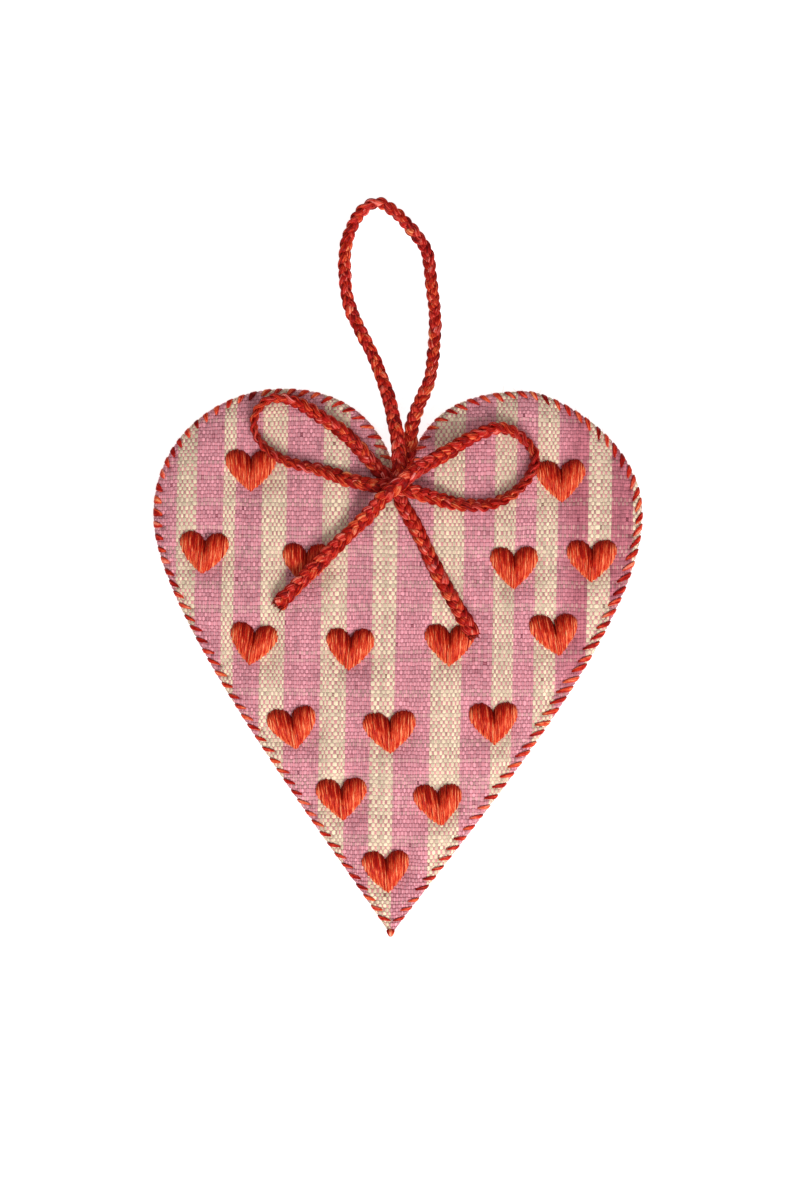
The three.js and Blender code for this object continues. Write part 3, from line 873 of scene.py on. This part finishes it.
padding = {
    "rings": [
        (0, 6), (0.0004, 6), (0.0010, 6), (0.0018, 6), (0.0027, 6), (0.0036, 6),
        (0.0047, 5), (0.0061, 4), (0.0079, 3), (0.0102, 2),
    ],
    "grid": 0.0026,
    "gridInset": 0.0116,
    "ringLeeway": 0.00004,
    "outlineStep": 0.00015,
    "slack": 0.00035,
    "slackReach": 0.02,
    "hold": 0.0005,
    "holdReach": 1.15,  # in half widths of the thread
    "dimple": 0.0009,
    "satinPull": 0.0009,
    "satinReach": 0.92,
    "creases": [
        ((-0.0013, -0.0769), (0.0078, -0.0720), 0.0006), ((0.0295, 0.0432), (0.0361, 0.0375), 0.0006),
        ((0.0644, 0.0309), (0.0697, 0.0346), 0.0005), ((-0.0170, -0.0640), (-0.0120, -0.0760), 0.0004),
    ],
    "creaseWidth": 0.0022,
    "foldReach": 0.008,
    "foldSteps": 160,
    "cloth": {
        "quality": 6,
        "mass": 0.3,
        "tension_stiffness": 12,
        "compression_stiffness": 12,
        "shear_stiffness": 6,
        "bending_stiffness": 0.4,
        "use_pressure": True,
        "uniform_pressure_force": 4.0,
        "shrink_min": -0.012,
        "vertex_group_mass": "held",
    },
    "simScale": 20,
    "frames": 20,
    "mostMove": 0.0014,
}


def outlinePoints(perStitch):
    loop = []
    for edge in edges:
        count = round(edge.length / edge.pitch * perStitch)
        along = np.linspace(0, edge.length, count + 1)
        along = along[:-1] if edge.sign > 0 else along[:0:-1]
        loop.append(edge.at(along))
    return np.vstack(loop)


def insideOutline(points, loop):
    x, y = points[:, 0][:, None], points[:, 1][:, None]
    a, b = loop, np.roll(loop, -1, axis=0)
    spans = (a[:, 1] > y) != (b[:, 1] > y)
    with np.errstate(divide="ignore", invalid="ignore"):
        cross = (b[:, 0] - a[:, 0]) * (y - a[:, 1]) / (b[:, 1] - a[:, 1]) + a[:, 0]
    return (np.sum(spans & (x < cross), axis=1) % 2) == 1


# Nearest place on the outline to each point: distance, which edge, and how far along it
def makeOutlineTree():
    spots = []
    for which, edge in enumerate(edges):
        for along in np.arange(0, edge.length, padding["outlineStep"]):
            spots.append((which, along))
    tree = KDTree(len(spots))
    for i, (which, along) in enumerate(spots):
        x, y = edges[which].at(along)
        tree.insert((x, y, 0), i)
    tree.balance()
    return tree, spots


outlineTree, outlineSpots = makeOutlineTree()


def nearOutline(points):
    found = np.zeros((len(points), 3))
    for i, (x, y) in enumerate(points):
        _, spot, distance = outlineTree.find((x, y, 0))
        which, along = outlineSpots[spot]
        found[i] = distance, which, along
    return found


def clothPoints():
    v = padding
    loop = outlinePoints(v["rings"][0][1])
    points = [loop]
    notch = np.array(heartShape["notch"])
    for inset, perStitch in v["rings"][1:]:
        ring = []
        for edge in edges:
            count = round(edge.length / edge.pitch * perStitch)
            along = (np.arange(count) + 0.5) / count * edge.length
            ring.append(edge.at(along, inset))
        ends = [edge.inward(edge.length) for edge in edges]
        angles = [math.atan2(end[1], end[0]) % (2 * math.pi) for end in ends]
        low, high = min(angles), max(angles)
        count = max(1, round((high - low) * inset / (edges[0].pitch / perStitch)))
        turn = np.linspace(low, high, count + 2)[1:-1]
        ring.append(notch + inset * np.stack([np.cos(turn), np.sin(turn)], axis=1))
        ring = np.vstack(ring)
        distance = nearOutline(ring)[:, 0]
        points.append(ring[distance > inset - v["ringLeeway"]])
    low, high = loop.min(axis=0), loop.max(axis=0)
    rows = np.arange(low[1], high[1], v["grid"] * math.sqrt(3) / 2)
    grid = [
        (x + (i % 2) * v["grid"] / 2, y)
        for i, y in enumerate(rows)
        for x in np.arange(low[0], high[0], v["grid"])
    ]
    grid = np.array(grid)
    grid = grid[insideOutline(grid, loop)]
    grid = grid[nearOutline(grid)[:, 0] > v["gridInset"]]
    points.append(grid)
    return np.vstack(points), len(loop)


# How far each point of the rim is from a stitch's thread, in shares of the thread's half width
def offThread(which, along, inset, front):
    off = np.full(len(along), 99.0)
    share = np.zeros(len(along))
    for side, edge in enumerate(edges):
        mine = np.nonzero(which == side)[0]
        part = inset[mine][:, None] / edge.depth
        inner = np.clip(part, 0, 1)
        hole = edge.hole if front else edge.leave
        path = hole + (edge.hole + edge.lean - hole) * (1 - inner)
        half = edge.wide * (1 - 0.5 * inner) / 2
        turns = np.abs(along[mine][:, None] - path) * edge.slope / half + 9 * (part > 1.12)
        best = np.argmin(turns, axis=1)
        off[mine] = np.take_along_axis(turns, best[:, None], 1)[:, 0]
        share[mine] = np.take_along_axis(inner, best[:, None], 1)[:, 0]
    return off, share


# Less than 1 for a point under a satin heart, by its place in the oval round that heart
def underSatin(points):
    nearest = np.full(len(points), 9.0)
    for x, y, *_ in satin["places"]:
        spread = (points - (x, y - 0.0008)) / (np.array(satin["size"]) / 2)
        nearest = np.minimum(nearest, np.hypot(spread[:, 0], spread[:, 1]))
    return nearest


# How deep the cloth lies in its few creases
def creaseDepth(points):
    deepest = np.zeros(len(points))
    for start, end, depth in padding["creases"]:
        start, span = np.array(start), np.array(end) - np.array(start)
        share = np.clip((points - start) @ span / (span @ span), 0, 1)
        away = np.linalg.norm(points - start - share[:, None] * span, axis=1)
        deepest = np.maximum(deepest, depth * np.exp(-((away / padding["creaseWidth"]) ** 2)))
    return deepest


def makeHeart():
    v = padding
    flat, rimCount = clothPoints()
    near = nearOutline(flat)
    near[:rimCount, 0] = 0
    inset, which, along = near[:, 0], near[:, 1].astype(int), near[:, 2]
    millimetres = [Vector((x * 1000, y * 1000)) for x, y in flat]
    loopEdges = [(i, (i + 1) % rimCount) for i in range(rimCount)]
    made = delaunay_2d_cdt(millimetres, loopEdges, [], 1, 1e-4)
    sources = [ids[0] for ids in made[3]]
    triangles = np.array([[sources[k] for k in face] for face in made[2]])
    count = len(flat)

    front, back = faceHeights(flat[:, 0], flat[:, 1], inset)
    inwards = np.where((which == 0)[:, None], edges[0].inward(along), edges[1].inward(along))
    places = []
    holds = []
    for isFront, height in ((True, front), (False, back)):
        off, share = offThread(which, along, inset, isFront)
        held = off < v["holdReach"]
        press = held * (1 - np.clip(off, 0, 1) ** 2 * 0.4) * v["hold"]
        side = 1 if isFront else -1
        steep = np.clip(1 - inset / heartBody["rimReach"], 0, 1)
        hole = held * np.clip((share - 0.8) / 0.2, 0, 1)
        z = height - side * (press * (1 - steep) + hole * v["dimple"])
        z = z - side * v["slack"] * smoothStep(inset / v["slackReach"]) * (height > 0.0001)
        shift = inwards * (press * steep)[:, None]
        places.append(np.column_stack([flat + shift, z]))
        holds.append(held)
    under = underSatin(flat) < v["satinReach"]
    places[0][under, 2] -= v["satinPull"]
    places[0][:, 2] -= creaseDepth(flat)
    holds[0] |= under
    places[1][:rimCount] = places[0][:rimCount]
    rest = np.arange(count) + count - rimCount
    rest[:rimCount] = np.arange(rimCount)
    points = np.vstack([places[0], places[1][rimCount:]])
    faces = np.vstack([triangles, rest[triangles][:, ::-1]])
    held = np.concatenate([holds[0], holds[1][rimCount:]])
    held[:rimCount] |= holds[1][:rimCount]

    # The cloth's flat coordinates: what lies near the rim has been folded down from further out
    steps = np.linspace(0, v["foldReach"], v["foldSteps"])
    x, y = (np.full(v["foldSteps"], place) for place in heartShape["middle"])
    profile = faceHeights(x, y, steps)[0]
    lengths = np.hypot(np.diff(steps), np.diff(profile))
    walked = np.concatenate([[0], np.cumsum(lengths)])
    outward = (steps[-1] - steps) - (walked[-1] - walked)
    shift = np.interp(inset, steps, outward, right=0)
    unfolded = flat + inwards * shift[:, None]
    uv = unfolded / clothLook["span"] + 0.5

    mesh = bpy.data.meshes.new("paddedHeart")
    mesh.from_pydata(points.tolist(), [], [tuple(map(int, f)) for f in faces])
    layer = mesh.uv_layers.new(name="cloth")
    corners = np.vstack([uv[triangles].reshape(-1, 2), uv[triangles[:, ::-1]].reshape(-1, 2)])
    layer.data.foreach_set("uv", corners.astype(np.float32).ravel())
    mesh.materials.append(clothMaterial)
    mesh.shade_smooth()
    heart = bpy.data.objects.new("paddedHeart", mesh)
    bpy.context.collection.objects.link(heart)
    group = heart.vertex_groups.new(name="held")
    group.add([int(i) for i in np.nonzero(held)[0]], 1.0, "REPLACE")
    swell(heart, points)
    return heart


# Swells the cloth between its held points, with a limit on how far any point moves
def swell(heart, points):
    v = padding
    mesh = heart.data
    mesh.vertices.foreach_set("co", (points * v["simScale"]).ravel())
    cloth = heart.modifiers.new("cloth", "CLOTH")
    for name, value in v["cloth"].items():
        setattr(cloth.settings, name, value)
    cloth.settings.effector_weights.gravity = 0
    cloth.point_cache.frame_start = 1
    cloth.point_cache.frame_end = v["frames"]
    scene = bpy.context.scene
    for step in range(1, v["frames"] + 1):
        scene.frame_set(step)
    shown = heart.evaluated_get(bpy.context.evaluated_depsgraph_get())
    moved = np.empty(len(points) * 3)
    shown.data.vertices.foreach_get("co", moved)
    moved = moved.reshape(-1, 3) / v["simScale"] - points
    heart.modifiers.remove(cloth)
    scene.frame_set(1)
    far = np.linalg.norm(moved, axis=1, keepdims=True)
    print("cloth moved, mm: mean", round(far.mean() * 1000, 3), "most", round(far.max() * 1000, 3))
    limit = v["mostMove"]
    moved = moved / np.maximum(far, 1e-9) * limit * np.tanh(far / limit)
    result = points + moved
    result[:, 2] = np.maximum(result[:, 2], 0)
    mesh.vertices.foreach_set("co", result.ravel())
    mesh.update()


heart = makeHeart()
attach(heart, "root")
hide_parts("heart_body")
print("heart padded")


# A flat thread through points, its broad side kept level with one direction
def addRibbon(pile, points, sizes, across, wide, thick, number):
    v = edgeStitch
    line, even = smoothLine(points, v["step"])
    known = walk(points)
    size = np.interp(even / even[-1], known / known[-1], sizes)[:, None]
    ahead = unit(np.gradient(line, axis=0))
    sideways = unit(across - ahead * (ahead @ across)[:, None])
    outwards = np.cross(ahead, sideways)
    squareX, squareY = boxed(turnsAround(v["sides"]), v["boxy"])
    halves = squareX * wide / 2 * size, squareY * thick / 2 * (0.5 + 0.5 * size)
    pile.tube(line, sideways, outwards, np.stack(halves, axis=-1), number)


# The thread whipped over one edge: up through each hole, over the front to the rim, round it, and
# across the back to the next hole
def makeEdgeStitching(name, edge, seed):
    v = edgeStitch
    body = heartBody
    rng = np.random.default_rng(seed)
    pile = Pile()
    top, low = body["edgeTop"], body["edgeBottom"]
    for number in range(v["count"]):
        hole, depth, lean = edge.hole[number], edge.depth[number], edge.lean[number]
        leave = edge.leave[number]
        stand = v["thick"] * 0.42
        back = leave - hole - lean
        # Place along and in from the edge, height, share of the width and share of the crown
        knots = [
            (hole, depth, top - 0.0016, 0.30, 1),
            (hole + 0.01 * lean, depth * 0.99, top - 0.0003, 0.36, 1),
            (hole + 0.16 * lean, depth * 0.86, top + stand * 0.6, 0.54, 1),
            (hole + 0.46 * lean, depth * 0.58, top + stand * 0.8, 0.80, 1),
            (hole + 0.76 * lean, depth * 0.28, top - 0.0002, 0.98, 1),
            (hole + 0.93 * lean, depth * 0.12, top - 0.0009, 1.05, 1),
            (hole + lean, 0.00020, top - 0.0020, 1.0, 0.8),
            (hole + lean, 0.00012, (top + low) / 2, 0.95, 0.5),
            (hole + lean, 0.00020, low + 0.0014, 0.95, 0.1),
            (hole + lean + back * 0.3, depth * 0.24, low + 0.0001, 0.9, 0),
            (hole + lean + back * 0.7, depth * 0.7, low - stand * 0.8, 0.75, 0),
            (leave, depth, low + 0.0001, 0.5, 0),
            (leave, depth, low + 0.0016, 0.35, 0),
        ]
        points = []
        for along, inset, z, _, crownShare in knots:
            x, y = edge.at(along, inset)
            points.append((x, y, max(z, v["lowest"]) + crownAt(x, y) * crownShare))
        near = edge.at(hole + lean / 2 + 0.001) - edge.at(hole + lean / 2 - 0.001)
        across = unit(np.array([near[0], near[1], 0.0])) * edge.sign
        thick = v["thick"] * rng.uniform(0.9, 1.1)
        addRibbon(pile, points, [knot[3] for knot in knots], across, edge.wide[number], thick, number)
    if edge.sign > 0:
        addTipTurns(pile)
    return pile.build(name, edgeMaterial)


# Loose ends of raffia that stand out between the stitches of the rim, more of them on the right
looseHairs = {
    "counts": (95, 30),
    "from": (0.18, 0.40),
    "to": 0.97,
    "outward": (0.15, 1.0),
    "ahead": (0.5, 0.7),
    "upward": (-0.1, 0.6),
    "rootInset": 0.0004,
    "rootBelowTop": (0.0010, 0.0045),
    "bend": 0.35,
    "rise": 0.1,
    "length": (0.0006, 0.0022),
    "thick": 0.00007,
    "stops": [(0, (0.88, 0.60, 0.42)), (1, (0.80, 0.34, 0.30))],
    "roughness": 0.6,
    "seed": 88,
}


def addLooseHairs():
    v = looseHairs
    rng = np.random.default_rng(v["seed"])
    look = Look("loose raffia ends", v["roughness"])
    own = look.chance(look.math("FLOOR", look.flat("strand")[1]), 2.2)
    look.feed("Base Color", look.node("ShaderNodeValToRGB", {"stops": v["stops"]}, {0: own}))
    pile = Pile()
    for edge, count, start in zip(edges, v["counts"], v["from"]):
        for number in range(count):
            along = edge.length * rng.uniform(start, v["to"])
            outward = -edge.inward(along)
            ahead = np.array([-outward[1], outward[0]]) * edge.sign
            aim = outward * rng.uniform(*v["outward"]) + ahead * rng.normal(*v["ahead"])
            aim = unit(np.array([*aim, rng.uniform(*v["upward"])]))
            height = heartBody["edgeTop"] - rng.uniform(*v["rootBelowTop"])
            root = np.array([*edge.at(along, v["rootInset"]), height])
            bend = np.array([*rng.normal(0, v["bend"], 2), v["rise"]])
            t = np.linspace(0, 1, 7)[:, None]
            line = root + rng.uniform(*v["length"]) * (aim * t + bend * t * t)
            addFibre(pile, line, v["thick"], number)
    hairs = pile.build("looseHairs", look.material)
    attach(hairs, "root")


addLooseHairs()

# The few turns over the very point with which the sewing starts
tipTurns = {
    "angles": (-32, 28, -3), "length": 0.0024, "wide": 0.0016, "thick": 0.0009, "layer": 0.0002,
}


def addTipTurns(pile):
    v = tipTurns
    tip = np.array(heartShape["tip"])
    top, low = heartBody["edgeTop"], heartBody["edgeBottom"]
    for number, angle in enumerate(v["angles"]):
        turn = math.radians(angle)
        up = np.array([math.sin(turn), math.cos(turn)])
        across = np.array([math.cos(turn), -math.sin(turn), 0])
        rise = v["layer"] * number
        # Share of the reach, height and share of the width
        steps = [
            (1.0, top - 0.0016, 0.5),
            (0.98, top - 0.0001, 0.7),
            (0.72, top + 0.0004 + rise, 0.95),
            (0.34, top + 0.0002 + rise, 1.0),
            (0.06, top - 0.0012, 1.0),
            (-0.06, (top + low) / 2, 0.9),
            (0.06, low + 0.0010, 0.9),
            (0.40, low + 0.0001, 0.9),
            (0.80, low, 0.7),
            (0.9, low + 0.0016, 0.5),
        ]
        points = [(*(tip + up * v["length"] * share), z) for share, z, _ in steps]
        addRibbon(pile, points, [step[2] for step in steps], across, v["wide"], v["thick"], 90 + number)


for name, node, edge, seed in (
    ("edgeStitchingRight", "edge_stitching_right", edges[0], 301),
    ("edgeStitchingLeft", "edge_stitching_left", edges[1], 302),
):
    piece = makeEdgeStitching(name, edge, seed)
    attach(piece, "root")
    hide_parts(node)
print("edge whipped")


# The lower and upper outline of a small heart of unit width and height, as heights over x
def satinOutline():
    lower, shoulder, dip = (bezier(*np.array(curve), 60) for curve in satin["curves"])
    return lower, np.vstack([shoulder, dip[1:]])[::-1]


satinLower, satinUpper = satinOutline()


def makeSatinHeart(name, place, seed, cloth):
    v = satin
    centreX, centreY, degrees, tipShift, stretch = place
    wide, high = v["size"][0] * stretch, v["size"][1]
    rng = np.random.default_rng(seed)
    pile = Pile()
    around = turnsAround(v["sides"])
    cos, sin = math.cos(math.radians(degrees)), math.sin(math.radians(degrees))
    fan = rng.uniform(*v["fan"])
    t = np.linspace(0, 1, v["steps"])
    for number in range(v["threads"]):
        x = (number + 0.5) / v["threads"] - 0.5 + rng.uniform(-v["jitter"], v["jitter"])
        x = np.clip(x, -0.493, 0.493)
        top = np.interp(abs(x), *satinUpper.T) + rng.uniform(*v["topJitter"])
        foot = x * (1 - fan * (1 - abs(2 * x) ** 3))
        bottom = np.interp(abs(foot), *satinLower.T) + rng.uniform(*v["footJitter"])
        lineX = (foot + (x - foot) * t) * wide + tipShift * (1 - t) * (1 - abs(2 * x))
        lineY = (bottom + (top - bottom) * t) * high
        reach = 2 * t**1.12 - 1
        bow = np.maximum(1 - np.abs(reach) ** np.where(reach > 0, 2.4, 1.9), 0)
        side = (1 - abs(2 * x) ** 3.0) ** 0.6
        full = min(1, (top - bottom) / 0.45)
        dip = v["valley"] * math.exp(-((x / v["valleyWidth"]) ** 2))
        valley = 1 - dip * smoothStep((t - 0.45) / 0.55)
        lift = v["rise"] * bow**0.9 * (0.28 + 0.72 * side) * (0.35 + 0.65 * full) * valley
        lift = lift * rng.uniform(*v["lifts"]) - v["tuck"] * (1 - bow) ** 4
        worldX = centreX + lineX * cos - lineY * sin
        worldY = centreY + lineX * sin + lineY * cos
        ends = [cloth.ray_cast((worldX[i], worldY[i], 0.03), (0, 0, -1))[0].z for i in (0, -1)]
        ground = ends[0] + (ends[1] - ends[0]) * t
        line = np.stack([worldX, worldY, ground + lift], axis=1)
        ahead = unit(np.gradient(line, axis=0))
        sideways = unit(np.cross(ahead, upward))
        outwards = np.cross(ahead, sideways)
        size = rng.uniform(*v["sizes"])
        narrow = 0.75 + 0.25 * np.minimum(1, np.minimum(t, 1 - t) * 6)
        half = (v["wide"] * size * narrow / 2)[:, None]
        deep = (v["thick"] * narrow / 2)[:, None]
        section = np.stack([np.cos(around) * half, np.sin(around) * deep], axis=-1)
        pile.tube(line, sideways, outwards, section, number)
    return pile.build(name, satinMaterial)


def surfaceOf(piece):
    mesh = piece.data
    corners = [vertex.co for vertex in mesh.vertices]
    return BVHTree.FromPolygons(corners, [tuple(polygon.vertices) for polygon in mesh.polygons])


clothSurface = surfaceOf(heart)
for i, place in enumerate(satin["places"]):
    piece = makeSatinHeart(f"satinHeart{i + 1:02d}", place, 500 + i, clothSurface)
    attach(piece, "root")
    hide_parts(f"embroidered_heart_{i + 1:02d}")
print("hearts stitched")

# Floor and light: the light comes low from the lower right of the picture

studio = {
    "floor": 6.0,
    "floorColour": colour(0.60, 0.60, 0.60),
    "floorGlow": 0.80,
    "keyPlace": (0.53, -1.23, 1.19),
    "keySize": 0.85,
    "keyPower": 32.5,
    "fillPlace": (0.0, 0.1, 1.6),
    "fillSize": 1.6,
    "fillPower": 2.1,
    "sky": 0.41,
}


def addLight(name, place, size, power, aim):
    bpy.ops.object.light_add(type="AREA", location=place)
    light = bpy.context.object
    light.name = name
    light.data.shape = "DISK"
    light.data.size = size
    light.data.energy = power
    light.rotation_euler = (Vector(aim) - Vector(place)).to_track_quat("-Z", "Y").to_euler()


def addStudio():
    v = studio
    bpy.ops.mesh.primitive_plane_add(size=v["floor"], location=(0, 0, -0.0002))
    floor = bpy.context.object
    floor.name = "floor"
    look = Look("pale floor", 0.9)
    look.fix("Base Color", v["floorColour"])
    look.fix("Emission Color", colour(1, 1, 1))
    look.fix("Emission Strength", v["floorGlow"])
    floor.data.materials.append(look.material)
    addLight("key", v["keyPlace"], v["keySize"], v["keyPower"], (0, 0, 0))
    addLight("fill", v["fillPlace"], v["fillSize"], v["fillPower"], (0, 0, 0))
    world = bpy.data.worlds.new("studio")
    world.use_nodes = True
    world.node_tree.nodes["Background"].inputs["Color"].default_value = colour(1, 1, 1)
    world.node_tree.nodes["Background"].inputs["Strength"].default_value = v["sky"]
    bpy.context.scene.world = world
    bpy.context.scene.view_settings.view_transform = "Standard"


addStudio()
print("studio lit")
